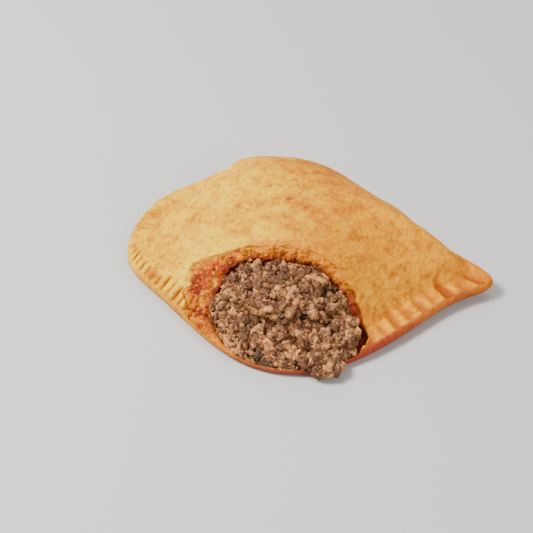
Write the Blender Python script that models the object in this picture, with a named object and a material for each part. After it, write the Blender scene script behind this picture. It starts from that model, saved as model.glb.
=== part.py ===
"""A baked half-moon pasty of minced beef, crimped along its curved front, with a bite out of it.

Metres, +Z up. The pasty lies on its flat base with its folded edge at the back (+Y), its pinched tip
to the right (+X) and its crimped rim in front. The origin is under the middle of its outline.
"""
import bmesh
import bpy
import numpy as np

MM = 0.001

# Outline in plan, in order from the pinched tip round the fold, the left end and the crimped front
OUTLINE = np.array([
    (72.4, 27.2), (30.9, 39.2), (-17.8, 51.9), (-51.2, 38.3), (-71.7, 10.8), (-64.7, -23.5),
    (-42.5, -36.2), (-0.5, -51.5), (29.9, -43.1), (51.6, -11.4), (64.8, 15.2),
]) * MM
CREST = np.array([-6.4, 23.1]) * MM
CREST_HEIGHT = 30.0 * MM
DOME_POWER = 3.05
DOME_FILLET = 1.1
VALLEY = 2.6 * MM
FLANGE_WIDTH = 9.2 * MM
FLANGE_HEIGHT = 4.4 * MM
FLANGE_NOSE = 2.2 * MM
FOLD_HEIGHT = 9.5 * MM
FOLD_POWER = 1.75
FOLD_FILLET = 0.57
FOLD_CURL = 14.0 * MM
FOLD_TURN = 0.4
TIP_LIFT = 3.4 * MM
LIFT_START = 20.0 * MM

# Fork crimps along the front rim, from a bearing at the left end round to the tip
CRIMP_COUNT = 36
CRIMP_START = np.radians(165.0)
CRIMP_DEPTH = 1.2 * MM
CRIMP_SHAPE = (0.0, 1.0, 0.62, 0.18)
CRIMP_FADE_IN = (0.0, 0.0, 0.0, 0.04, 0.06, 0.08, 0.12, 0.2, 0.5, 0.8)
CRIMP_NOSE = (0.2 * MM, 2.8 * MM)
CRIMP_FOOT = (6.0 * MM, 12.0 * MM)
CRIMP_UNEVEN = 0.2
CRIMP_LEANS = np.array([
    (150.0, 0.0), (185.0, 1.1), (201.0, 1.05), (214.0, 0.76), (228.0, 0.54), (250.0, 0.2),
    (270.0, 0.0), (335.0, 0.0), (355.0, -0.2), (372.0, -0.4), (382.0, -0.25), (391.0, 0.0),
])
FOLD_LINES = 30
RIM_BAND = 13.0 * MM
DOME_RINGS = (0.84, 0.64, 0.42, 0.2)
RIM_RINGS = (13.0 * MM, 9.5 * MM, 6.0 * MM, 2.8 * MM, 0.7 * MM)
BASE_RINGS = (0.8 * MM, 6.0 * MM, 13.0 * MM)

# Pastry thickness over, beside and under the filling
WALL = 3.2 * MM
SEAM = 15.0 * MM
SEAM_BY_BITE = 27.0 * MM
SEAM_PEAK = np.array([-42.0, -36.0]) * MM
SEAM_SPREAD = 16.0 * MM
FOLD_WALL = 4.0 * MM
FLOOR = 2.6 * MM
ROOM_LINES = 60
ROOM_RINGS = (1.0, 0.8, 0.62, 0.46, 0.32, 0.2, 0.11, 0.04)
ROOM_LEAST = 0.6 * MM

# The bite: plan points of its upper edge, with how far each stretch of the torn wall slopes inwards
BITE = np.array([
    (10.0, -70.0, 4.0), (44.0, -46.0, 2.2), (42.0, -28.0, 2.2), (38.5, -17.2, 2.0), (28.0, -10.6, 2.2),
    (14.0, -7.8, 2.2), (-3.5, -11.7, 2.4), (-16.0, -15.2, 3.6), (-26.0, -19.0, 7.0), (-36.5, -24.5, 15.0),
    (-29.0, -41.0, 10.0), (-20.0, -60.0, 6.0),
]) * MM
BITE_CENTRE = np.array([3.0, -31.0]) * MM
BITE_FLOOR = 2.2 * MM
BITE_TOP = 38.0 * MM
BITE_LINES = 76
BITE_STEPS = 8
BITE_RIM_FROM = np.array([-19.5, -44.5]) * MM
BITE_RIM_TO = np.array([42.5, -26.0]) * MM
BITE_FADE = 6.0 * MM
TORN = 0.6 * MM

# Minced filling where the bite shows it
FILLING_LINES = 72
FILLING_DROP = 3.4 * MM
FILLING_FRONT = 2.0 * MM
FILLING_APRON = 5.5 * MM
CRUMB_FIELD = np.array([-50.0, -54.0]) * MM
CRUMB_ROWS = 23
CRUMB_SPACING = 4.7 * MM
CRUMB_ROW_PITCH = 0.87 * CRUMB_SPACING
CRUMB_SCATTER = 0.3 * CRUMB_SPACING
CRUMB_DENT = 0.22
CRUMB_SINK = 0.1
CRUMB_RADII = (1.9 * MM, 3.3 * MM)
CRUMB_MARGIN = 1.2 * MM
SPILL_CENTRE = np.array([31.5, -42.6]) * MM
SPILL_SPREAD = np.array([4.6, 1.7]) * MM
SPILL_COUNT = 12
SPILL_HEIGHTS = (4.2 * MM, 6.2 * MM)
SPILL_RADII = (2.0 * MM, 2.7 * MM)

# Room left between pastry and filling; the upper skin grows more, as its slope takes part of the gap
CLEARANCE = 0.3 * MM
STEEP_GROWTH = 1.3
FILLING_GAP = 0.4 * MM
PASTRY_COLOUR = (0.78, 0.42, 0.10)
MINCE_COLOUR = (0.23, 0.12, 0.075)
SEED = 7
TURN = 2.0 * np.pi


def smoothstep(value, low, high):
    """0 below low, 1 above high, and an even S curve between them."""
    share = np.clip((value - low) / (high - low), 0.0, 1.0)
    return share * share * (3.0 - 2.0 * share)


def closed_spline(points, count):
    """A closed cubic curve through the points, read at even steps of its length in plan."""
    number = len(points)
    after = np.roll(np.arange(number), -1)
    step = np.linalg.norm(points[after, :2] - points[:, :2], axis=1) ** 0.5
    system = np.zeros((number, number))
    right = np.zeros_like(points)
    for i in range(number):
        system[i, i - 1] += step[i - 1]
        system[i, i] += 2.0 * (step[i - 1] + step[i])
        system[i, after[i]] += step[i]
        ahead = (points[after[i]] - points[i]) / step[i]
        behind = (points[i] - points[i - 1]) / step[i - 1]
        right[i] = 6.0 * (ahead - behind)
    bend = np.linalg.solve(system, right)
    knots = np.concatenate([[0.0], np.cumsum(step)])
    along = np.linspace(0.0, knots[-1], 4000, endpoint=False)
    i = np.clip(np.searchsorted(knots, along, side="right") - 1, 0, number - 1)
    span = step[i][:, None]
    before, beyond = (along - knots[i])[:, None], (knots[i + 1] - along)[:, None]
    j = after[i]
    curve = (bend[i] * beyond ** 3 + bend[j] * before ** 3) / (6.0 * span)
    curve += (points[i] / span - bend[i] * span / 6.0) * beyond
    curve += (points[j] / span - bend[j] * span / 6.0) * before
    curve = np.vstack([curve, curve[:1]])
    length = np.concatenate([[0.0], np.cumsum(np.linalg.norm(np.diff(curve[:, :2], axis=0), axis=1))])
    even = np.linspace(0.0, length[-1], count + 1)
    return np.stack([np.interp(even, length, curve[:, k]) for k in range(curve.shape[1])], axis=1)


EDGE = closed_spline(OUTLINE, 1440)
EDGE_LENGTH = np.linalg.norm(np.diff(EDGE, axis=0), axis=1).sum()
EDGE_ARC = np.linspace(0.0, EDGE_LENGTH, len(EDGE))
EDGE_BEARING = np.unwrap(np.arctan2(EDGE[:, 1] - CREST[1], EDGE[:, 0] - CREST[0]))
EDGE_REACH = np.linalg.norm(EDGE - CREST, axis=1)
BITE_EDGE = closed_spline(BITE, BITE_LINES * BITE_STEPS)


def edge_point(arc):
    """The outline's plan point at a length along it, measured from the tip round the fold."""
    arc = np.mod(arc, EDGE_LENGTH)
    return np.stack([np.interp(arc, EDGE_ARC, EDGE[:, 0]), np.interp(arc, EDGE_ARC, EDGE[:, 1])], axis=-1)


def arc_of_bearing(bearing):
    """The length along the outline where the ray from the crest with this bearing meets it."""
    start = EDGE_BEARING[0]
    return np.interp(start + np.mod(bearing - start, TURN), EDGE_BEARING, EDGE_ARC)


def fold_share(bearing):
    """1 along the round fold at the back, 0 along the flat crimped rim."""
    return smoothstep(np.sin(bearing), 0.0, FOLD_TURN)


def lift(x):
    """How far the pastry curls up off the table towards its tip: a square law in x."""
    return TIP_LIFT * np.clip((x - LIFT_START) / (OUTLINE[0, 0] - LIFT_START), 0.0, 1.2) ** 2


def crust_heights(inset, reach, fold):
    """Top and bottom of the pastry at a distance inside the outline.

    The front is a thin flange with a round nose, then a soft valley and a dome that falls as a power of
    the way out from the crest. The back is a round fold. The fold share mixes the two.
    """
    front = 1.0 - fold
    way = np.clip(1.0 - inset / reach, 0.0, 1.0)
    out = np.clip(way / (1.0 - FLANGE_WIDTH * front / reach), 0.0, 1.0)
    shelf = FLANGE_HEIGHT * front + FOLD_HEIGHT * fold
    power = DOME_POWER * front + FOLD_POWER * fold
    fillet = DOME_FILLET * front + FOLD_FILLET * fold
    rise = (CREST_HEIGHT - shelf) * (1.0 - out ** power) ** fillet
    dome = shelf + rise * (1.0 - front * np.exp(-rise / VALLEY))
    nose = np.sqrt(1.0 - np.clip(1.0 - inset / FLANGE_NOSE, 0.0, 1.0) ** 2)
    curl = np.sqrt(1.0 - np.clip(1.0 - inset / FOLD_CURL, 0.0, 1.0) ** 2)
    middle = 0.5 * FLANGE_HEIGHT * front + FOLD_HEIGHT * fold
    top = middle + (dome - middle) * (nose * front + fold)
    bottom = middle - middle * (nose * front + curl * fold)
    return top, bottom


def arc_under(place):
    """The length along the outline where the ray from the crest over a plan point meets it."""
    return arc_of_bearing(np.arctan2(place[1] - CREST[1], place[0] - CREST[0]))


def bite_share(arc):
    """1 along the stretch of rim that the bite takes away, 0 elsewhere."""
    first, last = arc_under(BITE_RIM_FROM), arc_under(BITE_RIM_TO)
    begun = smoothstep(arc, first - BITE_FADE, first + BITE_FADE)
    ended = smoothstep(arc, last - BITE_FADE, last + BITE_FADE)
    return begun * (1.0 - ended)


def seam_width(arc):
    """Width of solid pastry between the rim and the filling, with a thick stretch left of the bite."""
    near = np.exp(-((arc - arc_under(SEAM_PEAK)) / SEAM_SPREAD) ** 2)
    return SEAM + (SEAM_BY_BITE - SEAM) * near


def heap_height(inset, reach, fold):
    """Top of the mince in the bite: a little under the pastry that was there, with a steep front."""
    top, _ = crust_heights(inset, reach, fold)
    apron = BITE_FLOOR + FILLING_APRON * np.sqrt(np.clip((inset - FILLING_FRONT) / FLANGE_WIDTH, 0.0, 1.0))
    return np.maximum(top - FILLING_DROP, apron)


def wrapped_sphere(name, grid):
    """A UV sphere whose rings and lines are moved to a grid of points, its poles to the end rows."""
    rings, lines = grid.shape[0] - 1, grid.shape[1]
    shape = bmesh.new()
    bmesh.ops.create_uvsphere(shape, u_segments=lines, v_segments=rings, radius=1.0)
    for vertex in shape.verts:
        ring = int(round(np.arccos(np.clip(vertex.co.z, -1.0, 1.0)) / np.pi * rings))
        line = int(round(np.arctan2(vertex.co.y, vertex.co.x) / TURN * lines)) % lines
        x, y, z = grid[ring, 0 if ring in (0, rings) else line]
        vertex.co = (x, y, z + lift(x))
    mesh = bpy.data.meshes.new(name)
    shape.to_mesh(mesh)
    shape.free()
    return bpy.data.objects.new(name, mesh)


def rim_lines():
    """Lengths along the outline of the mesh lines, and how deep a fork crimp is pressed on each."""
    random = np.random.default_rng(SEED)
    start = arc_of_bearing(CRIMP_START)
    ends = np.linspace(start, EDGE_LENGTH, CRIMP_COUNT + 1)
    ends[1:-1] += random.uniform(-CRIMP_UNEVEN, CRIMP_UNEVEN, CRIMP_COUNT - 1) * (ends[1] - ends[0])
    depth = CRIMP_DEPTH * random.uniform(0.7, 1.15, CRIMP_COUNT)
    depth[:len(CRIMP_FADE_IN)] *= CRIMP_FADE_IN
    share = np.arange(len(CRIMP_SHAPE)) / len(CRIMP_SHAPE)
    arcs = (ends[:-1, None] * (1.0 - share) + ends[1:, None] * share).ravel()
    grooves = (depth[:, None] * np.array(CRIMP_SHAPE)).ravel()
    fold_arcs = np.linspace(0.0, start, FOLD_LINES, endpoint=False)
    return np.concatenate([fold_arcs, arcs]), np.concatenate([np.zeros(FOLD_LINES), grooves])


def crimp_lean(arc):
    """How far a crimp leans along the rim for each metre inwards: most at the left of the front."""
    return np.interp(arc, CRIMP_LEANS[:, 0] * MM, CRIMP_LEANS[:, 1])


def rays_to(arcs):
    """For places along the outline: the ray from the crest, its length and its fold share."""
    ray = edge_point(arcs) - CREST
    return ray, np.linalg.norm(ray, axis=1), fold_share(np.arctan2(ray[:, 1], ray[:, 0]))


def outer_skin(name, grow):
    """The whole pastry from outside, before the bite: dome, flange with its crimps, fold and base."""
    arcs, grooves = rim_lines()
    rings = [("top", 1.0, 0.0)]
    rings += [("top", share, 0.0) for share in DOME_RINGS]
    rings += [("top", 0.0, inset) for inset in RIM_RINGS]
    rings += [("edge", 0.0, 0.0)]
    rings += [("base", 0.0, inset) for inset in BASE_RINGS]
    rings += [("base", 0.5, 0.0), ("base", 1.0, 0.0)]
    grid = np.zeros((len(rings), len(arcs), 3))
    plain_reach = rays_to(arcs)[1]
    for row, (side, share, inset) in enumerate(rings):
        depth = inset + (share * (plain_reach - RIM_BAND) + RIM_BAND if share else 0.0)
        lean = crimp_lean(arcs) * np.minimum(depth, RIM_BAND) * (side == "top")
        ray, reach, fold = rays_to(arcs - lean)
        depth = np.minimum(depth, reach)
        top, bottom = crust_heights(depth, reach, fold)
        pressed = smoothstep(depth, *CRIMP_NOSE) * (1.0 - smoothstep(depth, *CRIMP_FOOT))
        top = top - grooves * pressed * (1.0 - fold) + STEEP_GROWTH * grow
        middle = 0.5 * FLANGE_HEIGHT * (1.0 - fold) + FOLD_HEIGHT * fold
        out = (reach - depth + grow * (depth < RIM_BAND)) / reach
        grid[row, :, :2] = CREST + ray * out[:, None]
        grid[row, :, 2] = {"top": top, "edge": middle, "base": bottom - grow}[side]
    return wrapped_sphere(name, grid)


def inner_body(name, lines, shrink, spilling):
    """A low dome inside the pastry. Where it spills, it runs out nearly to the rim along the bite."""
    arcs = np.linspace(0.0, EDGE_LENGTH, lines, endpoint=False)
    ray, reach, fold = rays_to(arcs)
    opened = bite_share(arcs) if spilling else np.zeros(lines)
    side = seam_width(arcs) * (1.0 - fold) + FOLD_WALL * fold + shrink
    side = side * (1.0 - opened) + FILLING_FRONT * opened
    rows = [("top", share) for share in ROOM_RINGS]
    rows += [("edge", 0.0), ("base", 0.08), ("base", 0.5), ("base", 1.0)]
    grid = np.zeros((len(rows), lines, 3))
    for row, (face, share) in enumerate(rows):
        inset = side + share * (reach - side)
        hidden = crust_heights(inset, reach, fold)[0] - WALL - shrink
        top = hidden * (1.0 - opened) + heap_height(inset, reach, fold) * opened
        bottom = FLOOR + shrink + 0.5 * (FOLD_HEIGHT - FLOOR) * fold * (face == "edge")
        top = np.maximum(top, bottom + ROOM_LEAST)
        grid[row, :, :2] = CREST + ray * ((reach - inset) / reach)[:, None]
        grid[row, :, 2] = {"top": top, "edge": 0.5 * (top + bottom), "base": bottom}[face]
    return wrapped_sphere(name, grid)


def place_on_rays(x, y):
    """For plan points: how far inside the outline, the length of their ray, and its fold share."""
    bearing = np.arctan2(y - CREST[1], x - CREST[0])
    reach = np.interp(arc_of_bearing(bearing), EDGE_ARC, EDGE_REACH)
    inset = reach - np.hypot(x - CREST[0], y - CREST[1])
    return inset, reach, fold_share(bearing)


def bite_cutter(name, shrink):
    """What the bite takes: an open-topped bowl with torn, sloping walls and a level floor.

    Each row gives how far down the slope it lies, as a share of the slope's width, and its height as
    a share of the pastry's height there. A row of None is a pole.
    """
    random = np.random.default_rng(SEED + 5)
    lip = BITE_EDGE[:-1:BITE_STEPS]
    away = lip[:, :2] - BITE_CENTRE
    distance = np.linalg.norm(away, axis=1)
    away /= distance[:, None]
    inset, reach, fold = place_on_rays(lip[:, 0], lip[:, 1])
    surface = crust_heights(np.maximum(inset, 0.0), reach, fold)[0]
    rows = [(None, None), (-0.4, None), (0.0, 1.0), (0.3, 0.73), (0.62, 0.52), (1.0, 0.0), (None, 0.0)]
    grid = np.zeros((len(rows), len(lip), 3))
    for row, (slope, height) in enumerate(rows):
        ragged = random.normal(0.0, TORN, len(lip))
        radius = 0.0 if slope is None else distance - slope * lip[:, 2] + ragged - 2.0 * shrink
        base = BITE_FLOOR + shrink
        grid[row, :, :2] = BITE_CENTRE + away * np.broadcast_to(radius, distance.shape)[:, None]
        grid[row, :, 2] = BITE_TOP if height is None else base + height * (surface - base)
    return wrapped_sphere(name, grid)


def crumb(name, centre, radius, random):
    """One piece of mince: an icosahedron pushed about at its corners and squashed a little."""
    shape = bmesh.new()
    bmesh.ops.create_icosphere(shape, subdivisions=1, radius=radius)
    stretch = random.uniform(0.75, 1.25, 3)
    for vertex in shape.verts:
        jolt = 1.0 + random.uniform(-CRUMB_DENT, CRUMB_DENT)
        x, y, z = np.array(vertex.co) * stretch * jolt + centre
        vertex.co = (x, y, z)
    mesh = bpy.data.meshes.new(name)
    shape.to_mesh(mesh)
    shape.free()
    return bpy.data.objects.new(name, mesh)


def crumbs():
    """Mince over the heap that the bite shows, on a staggered grid, and a few lumps over the rim."""
    random = np.random.default_rng(SEED + 2)
    column, row = np.meshgrid(np.arange(CRUMB_ROWS), np.arange(CRUMB_ROWS))
    x = CRUMB_FIELD[0] + (column + 0.5 * (row % 2)) * CRUMB_SPACING
    y = CRUMB_FIELD[1] + row * CRUMB_ROW_PITCH
    x = (x + random.uniform(-CRUMB_SCATTER, CRUMB_SCATTER, x.shape)).ravel()
    y = (y + random.uniform(-CRUMB_SCATTER, CRUMB_SCATTER, y.shape)).ravel()
    inset, reach, fold = place_on_rays(x, y)
    shown = heap_height(inset, reach, fold)
    foot = BITE_EDGE[:-1]
    bearing = np.arctan2(foot[:, 1] - BITE_CENTRE[1], foot[:, 0] - BITE_CENTRE[0])
    order = np.argsort(bearing)
    limit = np.linalg.norm(foot[:, :2] - BITE_CENTRE, axis=1) - foot[:, 2] - CRUMB_MARGIN
    allowed = np.interp(np.arctan2(y - BITE_CENTRE[1], x - BITE_CENTRE[0]), bearing[order], limit[order])
    inside = (np.hypot(x - BITE_CENTRE[0], y - BITE_CENTRE[1]) < allowed) & (inset > FILLING_FRONT)
    pieces = []
    for px, py, pz in zip(x[inside], y[inside], shown[inside]):
        radius = random.uniform(*CRUMB_RADII)
        centre = np.array([px, py, pz + lift(px) - CRUMB_SINK * radius])
        pieces.append(crumb(f"crumb_{len(pieces)}", centre, radius, random))
    for _ in range(SPILL_COUNT):
        px, py = SPILL_CENTRE + random.normal(0.0, 0.5, 2) * SPILL_SPREAD
        centre = np.array([px, py, random.uniform(*SPILL_HEIGHTS)])
        pieces.append(crumb(f"crumb_{len(pieces)}", centre, random.uniform(*SPILL_RADII), random))
    return pieces


def new_collection(name):
    """A collection linked to the scene."""
    collection = bpy.data.collections.new(name)
    bpy.context.scene.collection.children.link(collection)
    return collection


def add_boolean(target, operation, cutter=None, collection=None):
    """A Boolean modifier against one object or against every object of a collection."""
    modifier = target.modifiers.new(operation.lower(), "BOOLEAN")
    modifier.operation = operation
    modifier.solver = "MANIFOLD"
    if collection:
        modifier.operand_type = "COLLECTION"
        modifier.collection = collection
    else:
        modifier.object = cutter


def bake_modifiers(target):
    """Replaces an object's mesh by its evaluated one and drops its modifiers."""
    bpy.context.view_layer.update()
    evaluated = target.evaluated_get(bpy.context.evaluated_depsgraph_get())
    mesh = bpy.data.meshes.new_from_object(evaluated)
    mesh.name = target.name
    target.modifiers.clear()
    target.data = mesh


def drop_scraps(target):
    """Keeps the largest connected piece of a mesh and removes the rest."""
    shape = bmesh.new()
    shape.from_mesh(target.data)
    left = set(shape.verts)
    pieces = []
    while left:
        piece = {left.pop()}
        front = list(piece)
        while front:
            vertex = front.pop()
            for edge in vertex.link_edges:
                other = edge.other_vert(vertex)
                if other in left:
                    left.discard(other)
                    piece.add(other)
                    front.append(other)
        pieces.append(piece)
    pieces.sort(key=len)
    for piece in pieces[:-1]:
        bmesh.ops.delete(shape, geom=list(piece), context="VERTS")
    shape.to_mesh(target.data)
    shape.free()


def material(name, colour, roughness):
    """A plain Principled finish."""
    finish = bpy.data.materials.new(name)
    finish.use_nodes = True
    shader = finish.node_tree.nodes["Principled BSDF"]
    shader.inputs["Base Color"].default_value = (*colour, 1.0)
    shader.inputs["Roughness"].default_value = roughness
    shader.inputs["Metallic"].default_value = 0.0
    return finish


def main():
    for item in list(bpy.data.objects):
        bpy.data.objects.remove(item, do_unlink=True)
    parts = new_collection("meat_pasty")
    cutters = new_collection("cutters")
    crumb_set = new_collection("crumbs")

    crust = outer_skin("crust", 0.0)
    parts.objects.link(crust)
    room = inner_body("filling_room", ROOM_LINES, 0.0, False)
    mouth = bite_cutter("bite", 0.0)
    jacket = outer_skin("crust_clearance", CLEARANCE)
    jacket_room = inner_body("clearance_room", ROOM_LINES, CLEARANCE, False)
    jacket_mouth = bite_cutter("clearance_bite", CLEARANCE)
    for cutter in (room, mouth, jacket, jacket_room, jacket_mouth):
        cutters.objects.link(cutter)
        cutter.hide_render = True
        cutter.display_type = "WIRE"
    for target, first, second in ((crust, room, mouth), (jacket, jacket_room, jacket_mouth)):
        add_boolean(target, "DIFFERENCE", cutter=first)
        add_boolean(target, "DIFFERENCE", cutter=second)
    bake_modifiers(crust)
    drop_scraps(crust)

    filling = inner_body("filling", FILLING_LINES, FILLING_GAP, True)
    parts.objects.link(filling)
    for piece in crumbs():
        crumb_set.objects.link(piece)
    add_boolean(filling, "UNION", collection=crumb_set)
    bake_modifiers(filling)
    for piece in list(crumb_set.objects):
        bpy.data.objects.remove(piece, do_unlink=True)
    bpy.data.collections.remove(crumb_set)
    add_boolean(filling, "DIFFERENCE", cutter=jacket)
    bake_modifiers(filling)
    drop_scraps(filling)

    crust.data.materials.clear()
    crust.data.materials.append(material("baked_pastry", PASTRY_COLOUR, 0.55))
    filling.data.materials.clear()
    filling.data.materials.append(material("minced_beef", MINCE_COLOUR, 0.5))
    crust.data.shade_smooth()
    crust.data.set_sharp_from_angle(angle=np.radians(40.0))


main()
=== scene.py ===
"""Looks of a bitten half-moon meat pie: a blistered golden crust, its torn bite and the minced beef.

Metres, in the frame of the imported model: +X to the pinched tip, +Y to the folded back, +Z up.
"""

import bpy
import mathutils
import numpy as np
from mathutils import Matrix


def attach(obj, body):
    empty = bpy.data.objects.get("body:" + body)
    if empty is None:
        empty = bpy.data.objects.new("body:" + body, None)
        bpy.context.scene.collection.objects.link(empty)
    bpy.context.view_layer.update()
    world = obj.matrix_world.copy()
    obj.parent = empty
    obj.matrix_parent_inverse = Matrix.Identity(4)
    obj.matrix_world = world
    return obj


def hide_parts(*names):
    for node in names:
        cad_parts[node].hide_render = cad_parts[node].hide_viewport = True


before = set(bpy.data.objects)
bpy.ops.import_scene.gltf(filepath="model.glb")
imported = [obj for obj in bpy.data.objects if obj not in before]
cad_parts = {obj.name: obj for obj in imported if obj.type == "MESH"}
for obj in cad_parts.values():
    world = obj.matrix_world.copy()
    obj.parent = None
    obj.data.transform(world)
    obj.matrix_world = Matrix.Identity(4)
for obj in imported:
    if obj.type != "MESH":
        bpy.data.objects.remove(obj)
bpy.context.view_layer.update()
MM = 0.001
TURN = 2.0 * np.pi

# Outline in plan, in order from the pinched tip round the fold, the left end and the crimped front
OUTLINE = np.array([
    (72.4, 27.2), (30.9, 39.2), (-17.8, 51.9), (-51.2, 38.3), (-71.7, 10.8), (-64.7, -23.5),
    (-42.5, -36.2), (-0.5, -51.5), (29.9, -43.1), (51.6, -11.4), (64.8, 15.2),
]) * MM

# The dome, the valley and thin flange in front of it, the round fold behind and the tip that curls up
CREST = np.array([-6.4, 23.1]) * MM
CREST_HEIGHT = 30.0 * MM
DOME_POWER = 3.05
DOME_FILLET = 1.1
VALLEY = 2.6 * MM
FLANGE_WIDTH = 9.2 * MM
FLANGE_HEIGHT = 4.4 * MM
FLANGE_NOSE = 2.2 * MM
FOLD_HEIGHT = 9.5 * MM
FOLD_POWER = 1.75
FOLD_FILLET = 0.57
FOLD_CURL = 14.0 * MM
FOLD_TURN = 0.4
TIP_LIFT = 3.4 * MM
LIFT_START = 20.0 * MM

# Fork crimps along the front rim. Their leans go by the length in mm along the outline
CRIMP_COUNT = 36
CRIMP_START = np.radians(165.0)
CRIMP_DEPTH = 1.5 * MM
CRIMP_UNEVEN = 0.2
CRIMP_FADE_IN = (0.0, 0.0, 0.0, 0.0, 0.0, 0.0, 0.0, 0.0, 0.3, 0.6)
CRIMP_LEANS = np.array([
    (150.0, 0.0), (185.0, 1.1), (201.0, 1.05), (214.0, 0.76), (228.0, 0.54), (250.0, 0.2),
    (270.0, 0.0), (335.0, 0.0), (355.0, -0.2), (372.0, -0.4), (382.0, -0.25), (391.0, 0.0),
])
CRIMP_SKEW = 0.62
CRIMP_LENGTH = 6.5
# Where along the outline the crimps start, lengthen and widen, and the wrinkles start and end
CRIMP_STARTS = np.array([190.0, 204.0]) * MM
CRIMP_LENGTHENS = np.array([198.0, 226.0]) * MM
CRIMP_WIDENS = np.array([250.0, 325.0]) * MM
WRINKLE_STARTS = np.array([196.0, 208.0]) * MM
WRINKLE_ENDS = np.array([250.0, 275.0]) * MM
WRINKLE_SIZE = 2.3 * MM

# Width of the solid seam beside the filling, wider next to the bite, and of the wall at the fold
SEAM = 15.0 * MM
SEAM_BY_BITE = 27.0 * MM
SEAM_PEAK = np.array([-42.0, -36.0]) * MM
SEAM_SPREAD = 16.0 * MM
FOLD_WALL = 4.0 * MM

# The filling's room: how far its side stays inside the rim and past the bite's foot, over how many
# bearings that side is smoothed, and how high its ceiling goes and how far under the torn foot
ROOM_BACK = 9.0 * MM
ROOM_LEAST = 0.6 * MM
ROOM_WINDOW = 9
CEILING_TOP = 26.0 * MM
CEILING_GAP = 1.0 * MM

# The bite: plan points of its upper edge, and of the edge of the mince that shows in it
BITE = np.array([
    (10.0, -70.0), (44.0, -46.0), (42.0, -28.0), (38.5, -17.2), (28.0, -10.6), (14.0, -7.8), (-3.5, -11.7),
    (-16.0, -15.2), (-26.0, -19.0), (-36.5, -24.5), (-29.0, -41.0), (-20.0, -60.0),
]) * MM
MINCE = np.array([
    (39.6, -26.0), (37.4, -18.2), (33.4, -13.7), (25.0, -11.9), (17.6, -11.0), (10.6, -11.4), (2.6, -13.4),
    (-6.0, -14.6), (-13.0, -17.0), (-18.6, -21.0), (-20.4, -26.0), (-21.0, -31.5), (-19.2, -36.6),
    (-13.0, -43.2), (-4.0, -49.4), (8.0, -56.0), (28.0, -56.0), (41.0, -42.0),
]) * MM
BITE_CENTRE = np.array([3.0, -31.0]) * MM
BITE_FLOOR = 2.2 * MM

# The torn wall: how far its foot lies under the skin, how it rolls over to the lip, its least width, and
# the drop from its foot to the bite's floor where the room behind it is open and where it is shut
TORN_DROP = 3.4 * MM
TORN_ROLL = 1.5
TORN_LEAST = 2.8 * MM
LIP_GAP = 0.8 * MM
BEHIND_FOOT = 0.4 * MM
DROP_OPEN = 3.0 * MM
DROP_SHUT = 20.0 * MM

# The filling in the bite, and the crumbs that lie over the rim
FILLING_DROP = 3.4 * MM
FILLING_FRONT = 2.0 * MM
FILLING_APRON = 5.5 * MM
SPILL_BEARINGS = (np.arctan2(-14.5, 23.5), np.arctan2(-5.5, 37.0))
SPILL_REACH = (-4.5 * MM, 4.4 * MM)
SPILL_HEIGHTS = (6.2 * MM, 3.4 * MM)
SPILL_RADII = (1.0 * MM, 2.3 * MM)
CORE_FLOOR = BITE_FLOOR + 0.15 * MM
CORE_LEAST = 0.3 * MM
MINCE_RELIEF = 3.6 * MM
TABLE_GAP = 0.4 * MM

# Rows and columns of the crust's grid, from the bite's floor round to the base, and of the mince's
COLUMNS = 700
FLOOR_ROWS = 5
CEILING_ROWS = 8
DROP_ROWS = 4
WALL_ROWS = 25
SKIN_ROWS = 52
RIM_ROWS = 31
CURL_ROWS = 13
BASE_ROWS = 4
RIM_ZONE = 13.0 * MM
CURL_ZONE = 16.0 * MM
MINCE_COLUMNS = 460
MINCE_ROWS = 130
HIDDEN_ROWS = 8
UNDER_ROWS = 6

# What a row of the crust's grid belongs to
BASE, SKIN, TORN, HIDDEN = -1.0, 0.0, 1.0, 2.0

# Share of its plan size that the crust is drawn at, so that its relief stays inside the CAD's box
WITHIN = 0.996

# The camera, fitted to the photo: bearing and rise, distance, target, lens and sensor in mm
VIEW_TURN = np.radians(27.27)
VIEW_RISE = np.radians(43.84)
VIEW_DISTANCE = 0.5
VIEW_TARGET = np.array([-0.00796, -0.0110, 0.012])
VIEW_LENS = 86.5
VIEW_SENSOR = 36.0

# Soft boxes: name, place to the right, away and up as the camera sees it, size, power and colour
LIGHTS = (
    ("key", (-0.55, -0.05, 0.75), 0.3, 14.5, (1.0, 0.98, 0.94)),
    ("fill", (0.7, -0.5, 0.5), 0.6, 4.5, (1.0, 0.97, 0.93)),
    ("rear", (-0.1, 0.7, 0.6), 0.5, 2.5, (1.0, 1.0, 1.0)),
)
SKY_COLOUR = (1.0, 0.99, 0.97, 1.0)
SKY_STRENGTH = 0.4
PAPER_HALF = 3.0
PAPER_DROP = 0.2 * MM
SEED = 7


def smoothstep(value, low, high):
    """0 below low, 1 above high, and an even S curve between them."""
    share = np.clip((value - low) / (high - low), 0.0, 1.0)
    return share * share * (3.0 - 2.0 * share)


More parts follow.
